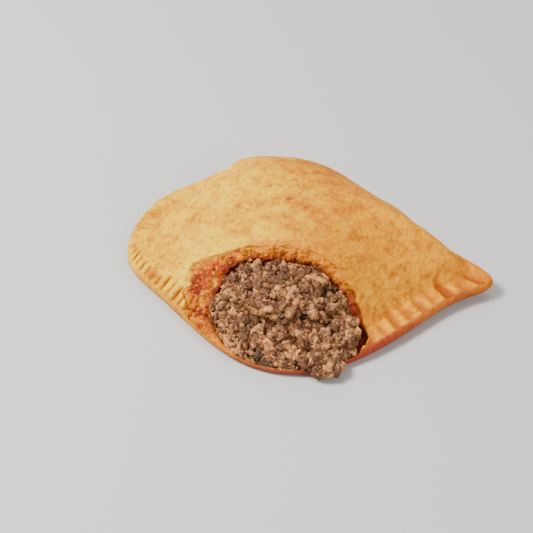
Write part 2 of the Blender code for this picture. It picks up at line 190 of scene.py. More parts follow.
def closed_spline(points, count):
    """A closed cubic curve through plan points, read at even steps of its length.

    The knots are as far apart as the square roots of the distances, and the bends solve one linear system.
    """
    number = len(points)
    after = np.roll(np.arange(number), -1)
    step = np.linalg.norm(points[after] - points, axis=1) ** 0.5
    system = np.zeros((number, number))
    right = np.zeros_like(points)
    for i in range(number):
        system[i, i - 1] += step[i - 1]
        system[i, i] += 2.0 * (step[i - 1] + step[i])
        system[i, after[i]] += step[i]
        ahead = (points[after[i]] - points[i]) / step[i]
        behind = (points[i] - points[i - 1]) / step[i - 1]
        right[i] = 6.0 * (ahead - behind)
    bend = np.linalg.solve(system, right)
    knots = np.concatenate([[0.0], np.cumsum(step)])
    along = np.linspace(0.0, knots[-1], 4000, endpoint=False)
    i = np.clip(np.searchsorted(knots, along, side="right") - 1, 0, number - 1)
    span = step[i][:, None]
    before, beyond = (along - knots[i])[:, None], (knots[i + 1] - along)[:, None]
    j = after[i]
    curve = (bend[i] * beyond ** 3 + bend[j] * before ** 3) / (6.0 * span)
    curve += (points[i] / span - bend[i] * span / 6.0) * beyond
    curve += (points[j] / span - bend[j] * span / 6.0) * before
    curve = np.vstack([curve, curve[:1]])
    length = np.concatenate([[0.0], np.cumsum(np.linalg.norm(np.diff(curve, axis=0), axis=1))])
    even = np.linspace(0.0, length[-1], count + 1)
    return np.stack([np.interp(even, length, curve[:, k]) for k in range(2)], axis=1)


EDGE = closed_spline(OUTLINE, 1440)
EDGE_LENGTH = np.linalg.norm(np.diff(EDGE, axis=0), axis=1).sum()
EDGE_ARC = np.linspace(0.0, EDGE_LENGTH, len(EDGE))
EDGE_BEARING = np.unwrap(np.arctan2(EDGE[:, 1] - CREST[1], EDGE[:, 0] - CREST[0]))
EDGE_REACH = np.linalg.norm(EDGE - CREST, axis=1)
BITE_EDGE = closed_spline(BITE, 1200)
MINCE_EDGE = closed_spline(MINCE, 900)


def arc_of_bearing(bearing):
    """The length along the outline where the ray from the crest with this bearing meets it."""
    start = EDGE_BEARING[0]
    return np.interp(start + np.mod(bearing - start, TURN), EDGE_BEARING, EDGE_ARC)


def arc_under(place):
    """The length along the outline where the ray from the crest over a plan point meets it."""
    return arc_of_bearing(np.arctan2(place[1] - CREST[1], place[0] - CREST[0]))


def lift(x):
    """How far the pastry curls up off the table towards its tip: a square law in x."""
    return TIP_LIFT * np.clip((x - LIFT_START) / (OUTLINE[0, 0] - LIFT_START), 0.0, 1.2) ** 2


def place_on_rays(x, y):
    """For plan points: arc of their ray, distance inside the outline, length of the ray, fold share."""
    bearing = np.arctan2(y - CREST[1], x - CREST[0])
    arc = arc_of_bearing(bearing)
    reach = np.interp(arc, EDGE_ARC, EDGE_REACH)
    inset = reach - np.hypot(x - CREST[0], y - CREST[1])
    return arc, inset, reach, smoothstep(np.sin(bearing), 0.0, FOLD_TURN)


def crust_heights(inset, reach, fold):
    """Top and bottom of the pastry at a distance inside the outline.

    The front is a thin flange with a round nose, then a soft valley and a dome that falls as a power of
    the way out from the crest. The back is a round fold. The fold share mixes the two.
    """
    front = 1.0 - fold
    way = np.clip(1.0 - inset / reach, 0.0, 1.0)
    out = np.clip(way / (1.0 - FLANGE_WIDTH * front / reach), 0.0, 1.0)
    shelf = FLANGE_HEIGHT * front + FOLD_HEIGHT * fold
    power = DOME_POWER * front + FOLD_POWER * fold
    fillet = DOME_FILLET * front + FOLD_FILLET * fold
    rise = (CREST_HEIGHT - shelf) * (1.0 - out ** power) ** fillet
    dome = shelf + rise * (1.0 - front * np.exp(-rise / VALLEY))
    nose = np.sqrt(1.0 - np.clip(1.0 - inset / FLANGE_NOSE, 0.0, 1.0) ** 2)
    curl = np.sqrt(1.0 - np.clip(1.0 - inset / FOLD_CURL, 0.0, 1.0) ** 2)
    middle = 0.5 * FLANGE_HEIGHT * front + FOLD_HEIGHT * fold
    top = middle + (dome - middle) * (nose * front + fold)
    bottom = middle - middle * (nose * front + curl * fold)
    return top, bottom


def heap_height(inset, reach, fold):
    """Top of the mince in the bite: a little under the pastry that was there, with a steep front."""
    top, _ = crust_heights(inset, reach, fold)
    apron = BITE_FLOOR + FILLING_APRON * np.sqrt(np.clip((inset - FILLING_FRONT) / FLANGE_WIDTH, 0.0, 1.0))
    return np.maximum(top - FILLING_DROP, apron)


def crimp_groove(arc, inset):
    """How deep the fork pressed: a row of lopsided waves along the rim, leaning as they run inwards.

    At the left the waves are short, narrow and paired, with fine wrinkles over them. To the right they
    get wider and softer.
    """
    random = np.random.default_rng(SEED)
    start = arc_of_bearing(CRIMP_START)
    ends = np.linspace(start, EDGE_LENGTH, CRIMP_COUNT + 1)
    ends[1:-1] += random.uniform(-CRIMP_UNEVEN, CRIMP_UNEVEN, CRIMP_COUNT - 1) * (ends[1] - ends[0])
    depth = random.uniform(0.7, 1.15, CRIMP_COUNT)
    depth[:len(CRIMP_FADE_IN)] *= CRIMP_FADE_IN
    length = random.uniform(0.75, 1.2, CRIMP_COUNT)
    between = random.uniform(0.45, 0.95, CRIMP_COUNT)
    lean = np.interp(arc, CRIMP_LEANS[:, 0] * MM, CRIMP_LEANS[:, 1])
    place = arc + lean * inset
    which = np.clip(np.searchsorted(ends, place) - 1, 0, CRIMP_COUNT - 1)
    share = np.clip((place - ends[which]) / (ends[which + 1] - ends[which]), 0.0, 1.0)
    right = smoothstep(arc, *CRIMP_WIDENS)
    wide = np.sin(np.pi * share ** CRIMP_SKEW) ** 2.0 * depth[which] ** 2.5 * (1.0 - 0.3 * right)
    narrow = np.sin(np.pi * np.mod(2.0 * share, 1.0)) ** 3.0
    narrow = narrow * np.where(share < 0.5, depth[which], between[which])
    wave = narrow * (1.0 - right) + wide * right
    foot = length[which] * (CRIMP_LENGTH + 0.5 * right) * MM * (0.5 + 0.5 * smoothstep(arc, *CRIMP_LENGTHENS))
    fade = 1.0 - smoothstep(inset, foot, foot + (4.0 + 4.0 * right) * MM)
    pressed = smoothstep(inset, 0.4 * MM, 2.6 * MM) * fade
    flat = np.stack([place, 0.22 * inset, np.zeros(place.shape)], axis=-1)
    wrinkle = np.clip(soft_noise(flat, WRINKLE_SIZE, 9, 1), 0.0, 1.0) * smoothstep(arc, *WRINKLE_STARTS)
    wrinkle *= (1.0 - smoothstep(arc, *WRINKLE_ENDS)) * (1.0 - smoothstep(inset, 5.0 * MM, 10.0 * MM))
    wave *= smoothstep(arc, *CRIMP_STARTS)
    return np.maximum(wave * pressed, 0.8 * wrinkle * smoothstep(inset, 0.8 * MM, 2.6 * MM))


# A rotation between the octaves of the noise, so that their lattices don't line up
SKEWED = np.array([(0.36, 0.48, -0.8), (-0.8, 0.6, 0.0), (0.48, 0.64, 0.6)])


def hashed(cells, seed):
    """An even random number from 0 to 1 for each whole-number cell, from integer mixing."""
    cells = cells.astype(np.int64)
    mixed = (cells[..., 0] * 73856093) ^ (cells[..., 1] * 19349663) ^ (cells[..., 2] * 83492791)
    mixed = (mixed + seed * 2654435761) & 0xFFFFFFFF
    mixed = ((mixed ^ (mixed >> 16)) * 0x45D9F3B) & 0xFFFFFFFF
    mixed = ((mixed ^ (mixed >> 16)) * 0x45D9F3B) & 0xFFFFFFFF
    return ((mixed ^ (mixed >> 16)) & 0xFFFFFF) / float(0xFFFFFF)


def soft_noise(points, size, seed, octaves=1):
    """Value noise from -1 to 1: random values on a lattice, mixed by an S curve, halved at each octave."""
    total = np.zeros(points.shape[:-1])
    scale = 1.0
    for octave in range(octaves):
        points = points @ SKEWED.T
        place = points / (size * 0.5 ** octave) + 17.3 * octave
        low = np.floor(place)
        part = place - low
        part = part * part * (3.0 - 2.0 * part)
        layer = np.zeros_like(total)
        for corner in np.ndindex(2, 2, 2):
            weight = np.prod(np.where(np.array(corner) == 1, part, 1.0 - part), axis=-1)
            layer += weight * hashed(low + np.array(corner), seed + 31 * octave)
        total += scale * (2.0 * layer - 1.0)
        scale *= 0.5
    return total


def cells(points, size, seed):
    """Distance to the nearest point of a jittered lattice, in cell sizes, and that point's own number."""
    place = points / size
    low = np.floor(place)
    nearest = np.full(points.shape[:-1], 9.0)
    number = np.zeros(points.shape[:-1])
    for corner in np.ndindex(3, 3, 3):
        cell = low + np.array(corner) - 1.0
        centre = cell + np.stack([hashed(cell, seed + k) for k in range(3)], axis=-1)
        distance = np.linalg.norm(place - centre, axis=-1)
        closer = distance < nearest
        nearest = np.where(closer, distance, nearest)
        number = np.where(closer, hashed(cell, seed + 3), number)
    return nearest, number


def grid_normals(grid):
    """Unit normals of a grid that is closed along its columns, from its two tangents."""
    along = np.gradient(grid, axis=0)
    wrapped = np.concatenate([grid[:, -1:], grid, grid[:, :1]], axis=1)
    across = np.gradient(wrapped, axis=1)[:, 1:-1]
    normal = np.cross(across, along)
    return normal / np.maximum(np.linalg.norm(normal, axis=-1, keepdims=True), 1e-12)


def closed_mesh(name, grid, first_pole, last_pole, layers):
    """A mesh from a grid of points closed along its columns, with a pole at each end.

    Quads join neighbouring rows and triangles join the end rows to their poles. Layers are numbers a
    point, kept as attributes.
    """
    rows, columns = grid.shape[:2]
    points = np.vstack([grid.reshape(-1, 3), first_pole, last_pole])
    here = np.arange(rows * columns).reshape(rows, columns)
    beside = np.roll(here, -1, axis=1)
    quads = np.stack([here[:-1], beside[:-1], beside[1:], here[1:]], axis=-1).reshape(-1, 4)
    start, end = rows * columns, rows * columns + 1
    lids = [np.stack([beside[0], here[0], np.full(columns, start)], axis=-1),
            np.stack([here[-1], beside[-1], np.full(columns, end)], axis=-1)]
    lids = np.vstack(lids)
    corners = np.concatenate([quads.ravel(), lids.ravel()])
    sizes = np.concatenate([np.full(len(quads), 4), np.full(len(lids), 3)])
    mesh = mesh_from(name, points, corners, sizes)
    for label, values in layers.items():
        flat = np.concatenate([values.ravel(), values[0].mean(keepdims=True), values[-1].mean(keepdims=True)])
        mesh.attributes.new(label, "FLOAT", "POINT").data.foreach_set("value", flat.astype(np.float32))
    return bpy.data.objects.new(name, mesh)


def mesh_from(name, points, corners, sizes):
    """A smooth-shaded mesh from flat arrays of points, face corners and face sizes."""
    mesh = bpy.data.meshes.new(name)
    mesh.vertices.add(len(points))
    mesh.vertices.foreach_set("co", points.astype(np.float32).ravel())
    mesh.loops.add(len(corners))
    mesh.loops.foreach_set("vertex_index", corners.astype(np.int32))
    mesh.polygons.add(len(sizes))
    mesh.polygons.foreach_set("loop_start", np.concatenate([[0], np.cumsum(sizes)[:-1]]).astype(np.int32))
    mesh.polygons.foreach_set("loop_total", sizes.astype(np.int32))
    mesh.update(calc_edges=True)
    mesh.validate()
    mesh.shade_smooth()
    return mesh


def around(curve, bearing):
    """Distance from the bite's centre to a closed curve along each bearing."""
    angle = np.unwrap(np.arctan2(curve[:, 1] - BITE_CENTRE[1], curve[:, 0] - BITE_CENTRE[0]))
    place = angle[0] + np.mod(bearing - angle[0], TURN)
    return np.interp(place, angle, np.hypot(curve[:, 0] - BITE_CENTRE[0], curve[:, 1] - BITE_CENTRE[1]))


def unit_ring(bearing):
    """Points of the unit circle at the bearings, where noise is read so that it closes on itself."""
    return np.stack([np.cos(bearing), np.sin(bearing), np.zeros(len(bearing))], axis=1)


def spread_bearings(count):
    """Bearings round the bite's centre, spread about half by angle and half by length of the outline."""
    fine = np.linspace(-np.pi, np.pi, 6001)
    reach = around(EDGE, fine)
    rim = BITE_CENTRE + np.stack([np.cos(fine), np.sin(fine)], axis=1) * reach[:, None]
    length = np.concatenate([[0.0], np.cumsum(np.linalg.norm(np.diff(rim, axis=0), axis=1))])
    measure = 0.45 * fine / TURN + 0.55 * length / length[-1]
    return np.interp(np.linspace(measure[0], measure[-1], count, endpoint=False), measure, fine)


def room_reach(bearing):
    """Distance from the bite's centre to the side of the filling's room, by bearing.

    The side is the outline moved in towards the crest, and further in beside the bite. The furthest
    point in each of even bins of bearing counts.
    """
    fold = smoothstep(np.sin(EDGE_BEARING), 0.0, FOLD_TURN)
    near = np.exp(-((EDGE_ARC - arc_under(SEAM_PEAK)) / SEAM_SPREAD) ** 2)
    side = (SEAM + (SEAM_BY_BITE - SEAM) * near) * (1.0 - fold) + FOLD_WALL * fold
    ring = CREST + (EDGE - CREST) * ((EDGE_REACH - side) / EDGE_REACH)[:, None]
    angle = np.arctan2(ring[:, 1] - BITE_CENTRE[1], ring[:, 0] - BITE_CENTRE[0])
    reach = np.hypot(ring[:, 0] - BITE_CENTRE[0], ring[:, 1] - BITE_CENTRE[1])
    count = 360
    bins = np.linspace(-np.pi, np.pi, count + 1)
    which = np.clip(np.digitize(angle, bins) - 1, 0, count - 1)
    outer = np.zeros(count)
    np.maximum.at(outer, which, reach)
    return np.interp(bearing, 0.5 * (bins[1:] + bins[:-1]), outer, period=TURN)


def room_side(bearing, rim, foot):
    """The smoothed side of the room, kept inside the rim, and 1 where the room opens behind the foot."""
    smooth = np.convolve(np.tile(room_reach(bearing), 3), np.ones(ROOM_WINDOW) / ROOM_WINDOW, "same")
    room = smooth[len(bearing):2 * len(bearing)]
    return np.minimum(room, rim - ROOM_BACK), smoothstep(room - foot, 0.0, 6.0 * MM)


def bite_lines(bearing):
    """Around the bite's centre: rim, lip and foot of the torn pastry, and 1 where pastry stands above it.

    The lip runs along the bite's edge with a ragged line, and just inside the rim where the bite has
    taken all of the upper pastry.
    """
    rim = around(EDGE, bearing)
    ring = unit_ring(bearing)
    ragged = 0.7 * MM * soft_noise(ring, 0.16, 3, 2) + 0.5 * MM * soft_noise(ring, 0.05, 4, 2)
    gap = rim - around(BITE_EDGE, bearing) - ragged
    lip = rim - 0.15 * MM - 0.5 * (gap + np.sqrt(gap ** 2 + 4.0 * LIP_GAP ** 2))
    stands = smoothstep(gap, -1.0 * MM, 4.0 * MM)
    mince = around(MINCE_EDGE, bearing) + 0.5 * MM * soft_noise(ring, 0.07, 6, 2)
    foot = np.minimum(lip - TORN_LEAST, mince)
    return rim, lip, foot, stands


def skin_height(x, y):
    """Over plan points: top of the baked skin less the crimps, bottom, crimp share and distance inside."""
    arc, inset, reach, fold = place_on_rays(x, y)
    inset = np.maximum(inset, 0.0)
    top, bottom = crust_heights(inset, reach, fold)
    groove = crimp_groove(arc, inset) * (1.0 - fold)
    middle = 0.5 * FLANGE_HEIGHT * (1.0 - fold) + FOLD_HEIGHT * fold
    return np.maximum(top - CRIMP_DEPTH * groove, np.minimum(middle, top)), bottom, groove, inset


def crust_piece():
    """The crust as one closed grid of bearings round the bite's centre.

    Each column starts on the bite's floor, runs out under the pastry's ceiling to the side of the room,
    comes back to the torn wall, climbs it to the lip, crosses the baked skin to the rim, turns round it
    and runs back under the base. Relief goes along the normals: inwards on the skin, so that it stays
    inside the plain form, and both ways on the torn wall.
    """
    bearing = spread_bearings(COLUMNS)
    away = np.stack([np.cos(bearing), np.sin(bearing)], axis=1)
    rim, lip, foot, stands = bite_lines(bearing)

    def ground(radius):
        return BITE_CENTRE[0] + radius * away[:, 0], BITE_CENTRE[1] + radius * away[:, 1]

    lip_top = skin_height(*ground(lip))[0]
    room, open_share = room_side(bearing, rim, foot)
    foot_top = np.maximum(skin_height(*ground(foot))[0] - TORN_DROP, BITE_FLOOR)
    foot_top = BITE_FLOOR + (foot_top - BITE_FLOOR) * stands
    drop_end = np.maximum(BITE_FLOOR, foot_top - DROP_OPEN * open_share - DROP_SHUT * (1.0 - open_share))
    room = np.maximum(room, foot + ROOM_LEAST)

    # Each row has its distance from the centre, its height where that isn't the skin's or the base's own,
    # what it belongs to, and how far down the torn wall it lies, a little over 1 below the foot
    rows = []
    for share in np.linspace(0.15, 1.0, FLOOR_ROWS):
        rows.append((room * share, np.full(COLUMNS, BITE_FLOOR - 0.1 * MM), HIDDEN, 0.0))
    for share in np.linspace(0.0, 1.0, CEILING_ROWS, endpoint=False):
        radius = room + (foot + BEHIND_FOOT - room) * share
        top = skin_height(*ground(radius))[0] - TORN_DROP - CEILING_GAP
        under = np.minimum(np.maximum(top, BITE_FLOOR), CEILING_TOP)
        rows.append((radius, under + (drop_end - under) * smoothstep(share, 0.6, 1.0), HIDDEN, 0.0))
    for share in np.linspace(0.0, 1.0, DROP_ROWS, endpoint=False):
        rows.append((foot + BEHIND_FOOT * (1.0 - share), drop_end + (foot_top - drop_end) * share, TORN, 1.1))
    for up in np.linspace(0.0, 1.0, WALL_ROWS, endpoint=False):
        down = 1.0 - up
        radius = lip + (foot - lip) * down
        drop = TORN_DROP * down ** TORN_ROLL
        height = np.maximum(skin_height(*ground(radius))[0] - drop, BITE_FLOOR)
        plain = BITE_FLOOR + (lip_top - BITE_FLOOR) * (1.0 - smoothstep(down, 0.0, 0.3))
        rows.append((radius, plain + (height - plain) * stands, TORN, down))
    zone = np.minimum(RIM_ZONE, 0.6 * (rim - lip))
    for share in np.linspace(0.0, 1.0, SKIN_ROWS, endpoint=False):
        rows.append((lip + (rim - zone - lip) * share ** 1.15, None, SKIN, 0.0))
    for share in np.linspace(0.0, 1.0, RIM_ROWS):
        rows.append((rim - zone * (1.0 - share) ** 2, None, SKIN, 0.0))
    curl = np.minimum(CURL_ZONE, 0.6 * rim)
    for share in np.linspace(0.0, 1.0, CURL_ROWS + 1)[1:]:
        rows.append((rim - curl * share ** 2, None, BASE, 0.0))
    for share in np.linspace(0.0, 0.85, BASE_ROWS + 1)[1:]:
        rows.append(((rim - curl) * (1.0 - share), None, BASE, 0.0))

    grid = np.zeros((len(rows), COLUMNS, 3))
    names = ("torn", "depth", "into", "groove", "inset", "lip_near", "under")
    names += ("crimped", "front", "rim_reflection")
    layers = {name: np.zeros((len(rows), COLUMNS)) for name in names}
    for row, (radius, height, kind, depth) in enumerate(rows):
        x, y = ground(radius)
        top, bottom, groove, inset = skin_height(x, y)
        grid[row, :, 0] = x
        grid[row, :, 1] = y
        grid[row, :, 2] = height if height is not None else (top if kind == SKIN else bottom)
        layers["torn"][row] = kind > SKIN
        layers["depth"][row] = depth
        layers["into"][row] = np.clip((lip - radius) / MM, 0.0, 30.0) * (kind > SKIN)
        layers["groove"][row] = groove * (kind == SKIN)
        layers["inset"][row] = inset / MM
        near_lip = stands * np.exp(-np.abs(radius - lip) / (4.0 * MM))
        layers["lip_near"][row] = near_lip * (kind == SKIN) + (kind > SKIN)
        layers["under"][row] = kind == BASE
        # Shares of the rim, by length in mm along the outline: pressed, right of the bite, and painted red
        # reflection
        arc = place_on_rays(x, y)[0] / MM
        ahead = smoothstep(EDGE_LENGTH / MM - arc, 0.0, 14.0)
        lower = smoothstep(arc, 240.0, 305.0) * (1.0 - 0.6 * smoothstep(arc, 332.0, 362.0))
        layers["crimped"][row] = smoothstep(arc, 196.0, 215.0) * ahead
        layers["front"][row] = smoothstep(arc, 300.0, 330.0)
        layers["rim_reflection"][row] = (0.4 + 0.45 * lower) * smoothstep(arc, 196.0, 240.0) * ahead

    normal = grid_normals(grid)
    # Baked relief: broad swells, blisters and fine grain, all pressed inwards
    skin = (layers["torn"] == 0.0) * (1.0 - layers["under"])
    swell = 0.5 + 0.5 * soft_noise(grid, 14.0 * MM, 11, 2)
    bubble, _ = cells(grid, 5.0 * MM, 12)
    small, _ = cells(grid, 2.4 * MM, 13)
    grain = 0.5 + 0.5 * soft_noise(grid, 2.2 * MM, 14, 2)
    relief = 0.45 * MM * swell + 0.22 * MM * np.clip(bubble, 0.0, 1.0) ** 2
    relief += 0.12 * MM * np.clip(small, 0.0, 1.0) ** 2
    relief += 0.12 * MM * grain
    relief += 0.35 * MM * layers["lip_near"] * (0.5 + 0.5 * soft_noise(grid, 1.8 * MM, 15, 2))
    rim_fade = smoothstep(layers["inset"], 0.0, 1.5)
    push = -relief * skin * (0.35 + 0.65 * rim_fade)
    # Torn pastry: thin layers that break off in steps, with strands across them
    walls = (layers["depth"] > 0.0) * (layers["depth"] < 1.05) * (layers["torn"] > 0.5)
    body = smoothstep(layers["depth"], 0.0, 0.12) * walls
    spread = grid * np.array([1.0, 1.0, 0.35])
    crumble = soft_noise(grid, 2.4 * MM, 21, 3)
    strands = 1.0 - np.abs(soft_noise(spread, 3.4 * MM, 23, 2)) * 1.8
    leaf = grid[..., 2] / (0.95 * MM) + 2.2 * soft_noise(grid, 4.0 * MM, 22, 3)
    steps = np.abs(leaf - np.floor(leaf) - 0.5) * 2.0
    height = (0.15 + 0.85 * stands)[None, :]
    push += body * height * (0.75 * MM * crumble + 0.45 * MM * (strands - 0.6) + 0.4 * MM * (steps - 0.5))
    grid = grid + normal * push[..., None]
    layers["steps"] = steps * walls
    layers["strands"] = np.clip(strands, 0.0, 1.0) * walls

    grid[..., :2] *= WITHIN
    grid[..., 2] += lift(grid[..., 0])
    grid[..., 2] = np.clip(grid[..., 2], 0.0, CREST_HEIGHT)
    first = np.array([[*BITE_CENTRE, BITE_FLOOR]])
    last = np.array([[*BITE_CENTRE, 0.0]])
    return closed_mesh("crust_baked", grid, first, last, layers)


def core_height(x, y, rough=True):
    """Top of the minced filling over plan points, with lumps at three sizes where the bite shows it."""
    _, inset, reach, fold = place_on_rays(x, y)
    base = heap_height(np.maximum(inset, 0.0), reach, fold)
    if not rough:
        return base
    flat = np.stack([x, y, base], axis=-1)
    warp = 1.2 * MM * np.stack([soft_noise(flat, 4.0 * MM, 41 + k, 2) for k in range(3)], axis=-1)
    big, _ = cells(flat + warp, 8.2 * MM, 51)
    mid, _ = cells(flat + 0.6 * warp, 3.6 * MM, 52)
    fine, _ = cells(flat, 1.7 * MM, 53)
    lumps = 4.4 * MM * (0.36 - np.clip(big, 0.0, 1.0) ** 1.8)
    lumps += 1.9 * MM * (0.4 - np.clip(mid, 0.0, 1.0) ** 1.6)
    lumps += 0.8 * MM * (0.4 - np.clip(fine, 0.0, 1.0) ** 1.4)
    return base + lumps


def mince_limit(bearing):
    """How far the mince that shows runs from the bite's centre: up to the torn foot or nearly to the rim."""
    rim, _, foot, stands = bite_lines(bearing)
    ragged = 0.5 * MM * (1.0 + soft_noise(unit_ring(bearing), 0.09, 8, 3))
    over_rim = np.minimum(rim - 0.8 * MM, around(MINCE_EDGE, bearing))
    return (foot - 0.3 * MM) * stands + over_rim * (1.0 - stands) - ragged


def mince_core():
    """The filling as one closed grid of bearings: lumpy where the bite shows it, plain where hidden."""
    bearing = np.linspace(-np.pi, np.pi, MINCE_COLUMNS, endpoint=False)
    away = np.stack([np.cos(bearing), np.sin(bearing)], axis=1)
    rim, _, foot, _ = bite_lines(bearing)
    room, open_share = room_side(bearing, rim, foot)
    shown = mince_limit(bearing)
    inland = smoothstep(rim - shown, 1.6 * MM, 3.5 * MM)
    shut = shown + 0.3 * MM
    room = np.maximum(room - 0.6 * MM, shut) * open_share + shut * (1.0 - open_share)
    # Rows that show, then those hidden beside them, then the underside
    rows = [(shown * share, 0) for share in np.linspace(0.012, 1.0, MINCE_ROWS)]
    rows += [(shown + (room - shown) * share, 1) for share in np.linspace(0.0, 1.0, HIDDEN_ROWS + 1)[1:]]
    rows += [(room * share, 2) for share in np.linspace(1.0, 0.15, UNDER_ROWS)]
    grid = np.zeros((len(rows), MINCE_COLUMNS, 3))
    layers = {name: np.zeros((len(rows), MINCE_COLUMNS)) for name in ("hollow", "tone")}
    for row, (radius, kind) in enumerate(rows):
        x = BITE_CENTRE[0] + radius * away[:, 0]
        y = BITE_CENTRE[1] + radius * away[:, 1]
        plain = core_height(x, y, False)
        ebb = (0.4 * MM + 1.2 * MM * inland) * (1.0 - smoothstep(shown - radius, 0.0, 3.0 * MM)) * inland
        top = plain - ebb - 0.6 * MM * (kind == 1)
        if kind == 0:
            top = core_height(x, y) - ebb
            # Painted shade: how far a point lies below the plain heap darkens the gaps between lumps
            layers["hollow"][row] = np.clip((plain - ebb - top) / MINCE_RELIEF + 0.35, 0.0, 1.0)
        z = np.maximum(top, CORE_FLOOR + CORE_LEAST) if kind < 2 else np.full(MINCE_COLUMNS, CORE_FLOOR)
        grid[row] = np.stack([x, y, z + lift(x)], axis=1)
    flat = grid * np.array([1.0, 1.0, 0.5])
    push = 0.55 * MM * soft_noise(flat, 2.3 * MM, 61, 2)
    push[MINCE_ROWS:] = 0.0
    push[0] = 0.0
    grid = grid + grid_normals(grid) * push[..., None]
    layers["tone"] = cells(grid, 6.0 * MM, 51)[1]
    first = np.array([[*BITE_CENTRE, grid[0, :, 2].mean()]])
    last = np.array([[*BITE_CENTRE, CORE_FLOOR]])
    return closed_mesh("mince_core", grid, first, last, layers)


def lump_set(name, centres, radii, rings, lines, rough, seed, shade=0.0):
    """Many closed lumps in one mesh: a small sphere for each centre, squashed, turned and dented.

    A point is its centre plus the radius times a unit direction, scaled by three numbers a lump and by
    one plus noise of the direction.
    """
    random = np.random.default_rng(seed)
    count = len(centres)
    polar = np.linspace(0.0, np.pi, rings + 1)[1:-1]
    angle = np.linspace(0.0, TURN, lines, endpoint=False)
    unit = np.stack([np.outer(np.sin(polar), np.cos(angle)), np.outer(np.sin(polar), np.sin(angle)),
                     np.outer(np.cos(polar), np.ones(lines))], axis=-1).reshape(-1, 3)
    unit = np.vstack([unit, [[0.0, 0.0, 1.0], [0.0, 0.0, -1.0]]])
    stretch = random.uniform(0.7, 1.3, (count, 1, 3))
    spin = random.normal(size=(count, 4))
    spin /= np.linalg.norm(spin, axis=1, keepdims=True)
    w, i, j, k = spin.T
    turn = np.array([[1 - 2 * (j * j + k * k), 2 * (i * j - k * w), 2 * (i * k + j * w)],
                     [2 * (i * j + k * w), 1 - 2 * (i * i + k * k), 2 * (j * k - i * w)],
                     [2 * (i * k - j * w), 2 * (j * k + i * w), 1 - 2 * (i * i + j * j)]]).transpose(2, 0, 1)
    offset = random.uniform(-50.0, 50.0, (count, 1, 3))
    dent = np.clip(1.0 + rough * soft_noise(unit[None] * 1.1 + offset, 0.9, seed + 5, 3), 0.45, 1.4)
    points = unit[None] * stretch * dent[..., None] * radii[:, None, None]
    points = np.einsum("nij,nmj->nmi", turn, points) + centres[:, None, :]
    points[..., 2] = np.maximum(points[..., 2], TABLE_GAP)
    size = (rings - 1) * lines
    here = np.arange(size).reshape(rings - 1, lines)
    beside = np.roll(here, -1, axis=1)
    quads = np.stack([here[:-1], here[1:], beside[1:], beside[:-1]], axis=-1).reshape(-1, 4)
    caps = [np.stack([np.full(lines, size), here[0], beside[0]], axis=-1),
            np.stack([np.full(lines, size + 1), beside[-1], here[-1]], axis=-1)]
    caps = np.vstack(caps)
    shift = (np.arange(count) * (size + 2))[:, None]
    corners = np.concatenate([(quads.ravel()[None] + shift).ravel(), (caps.ravel()[None] + shift).ravel()])
    sizes = np.concatenate([np.full(len(quads) * count, 4), np.full(len(caps) * count, 3)])
    mesh = mesh_from(name, points.reshape(-1, 3), corners, sizes)
    tone = np.repeat(random.uniform(0.0, 1.0, count), size + 2)
    # Painted shade: the lower part of each lump is darker, plus the shade given for where it lies
    sunk = np.clip(0.5 - 0.6 * (points[..., 2] - centres[:, None, 2]) / radii[:, None], 0.0, 1.0).ravel()
    mesh.attributes.new("tone", "FLOAT", "POINT").data.foreach_set("value", tone.astype(np.float32))
    sunk = 0.45 * sunk + np.repeat(shade * np.ones(count), size + 2)
    mesh.attributes.new("hollow", "FLOAT", "POINT").data.foreach_set("value", sunk.astype(np.float32))
    return bpy.data.objects.new(name, mesh)


def scattered(count, margin, seed):
    """Plan points spread at random over the mince that shows, kept off the torn wall by a margin."""
    random = np.random.default_rng(seed)
    x = random.uniform(-42.0, 48.0, count * 4) * MM
    y = random.uniform(-54.0, -6.0, count * 4) * MM
    bearing = np.arctan2(y - BITE_CENTRE[1], x - BITE_CENTRE[0])
    keep = np.hypot(x - BITE_CENTRE[0], y - BITE_CENTRE[1]) < mince_limit(bearing) - margin
    return x[keep][:count], y[keep][:count], random


def mince_lumps(name, count, low, high, rings, lines, rough, sink, seed):
    """Crumbs of mince lying on the core, their sizes drawn towards the small end and small by the rim."""
    x, y, random = scattered(count, high * 0.5, seed)
    radii = low + (high - low) * random.uniform(0.0, 1.0, len(x)) ** 2.0
    bearing = np.arctan2(y - BITE_CENTRE[1], x - BITE_CENTRE[0])
    spare = around(EDGE, bearing) - np.hypot(x - BITE_CENTRE[0], y - BITE_CENTRE[1])
    radii = np.minimum(radii, 0.5 * spare)
    top = core_height(x, y)
    z = top + lift(x) - sink * radii
    # Painted shade for crumbs that lie in the dips of the core
    shade = 0.7 * np.clip((core_height(x, y, False) - top) / MINCE_RELIEF, -0.1, 1.0)
    return lump_set(name, np.stack([x, y, z], axis=1), radii, rings, lines, rough, seed + 1, shade)


def mince_spill(name, count, seed):
    """Crumbs that have tumbled over the rim at the front right, in a cluster along it, off the table."""
    random = np.random.default_rng(seed)
    bearing = np.interp(random.beta(2.0, 2.0, count), (0.0, 1.0), SPILL_BEARINGS)
    out = random.uniform(0.0, 1.0, count) ** 0.8
    middle = np.sin(np.pi * (bearing - SPILL_BEARINGS[0]) / (SPILL_BEARINGS[1] - SPILL_BEARINGS[0]))
    beyond = (SPILL_REACH[1] - SPILL_REACH[0]) * out * (0.4 + 0.6 * middle)
    reach = around(EDGE, bearing) + SPILL_REACH[0] + beyond
    radii = random.uniform(*SPILL_RADII, count)
    centres = np.stack([BITE_CENTRE[0] + reach * np.cos(bearing), BITE_CENTRE[1] + reach * np.sin(bearing),
                        SPILL_HEIGHTS[0] + (SPILL_HEIGHTS[1] - SPILL_HEIGHTS[0]) * out], axis=1)
    return lump_set(name, centres, radii, 12, 18, 0.7, seed + 1)


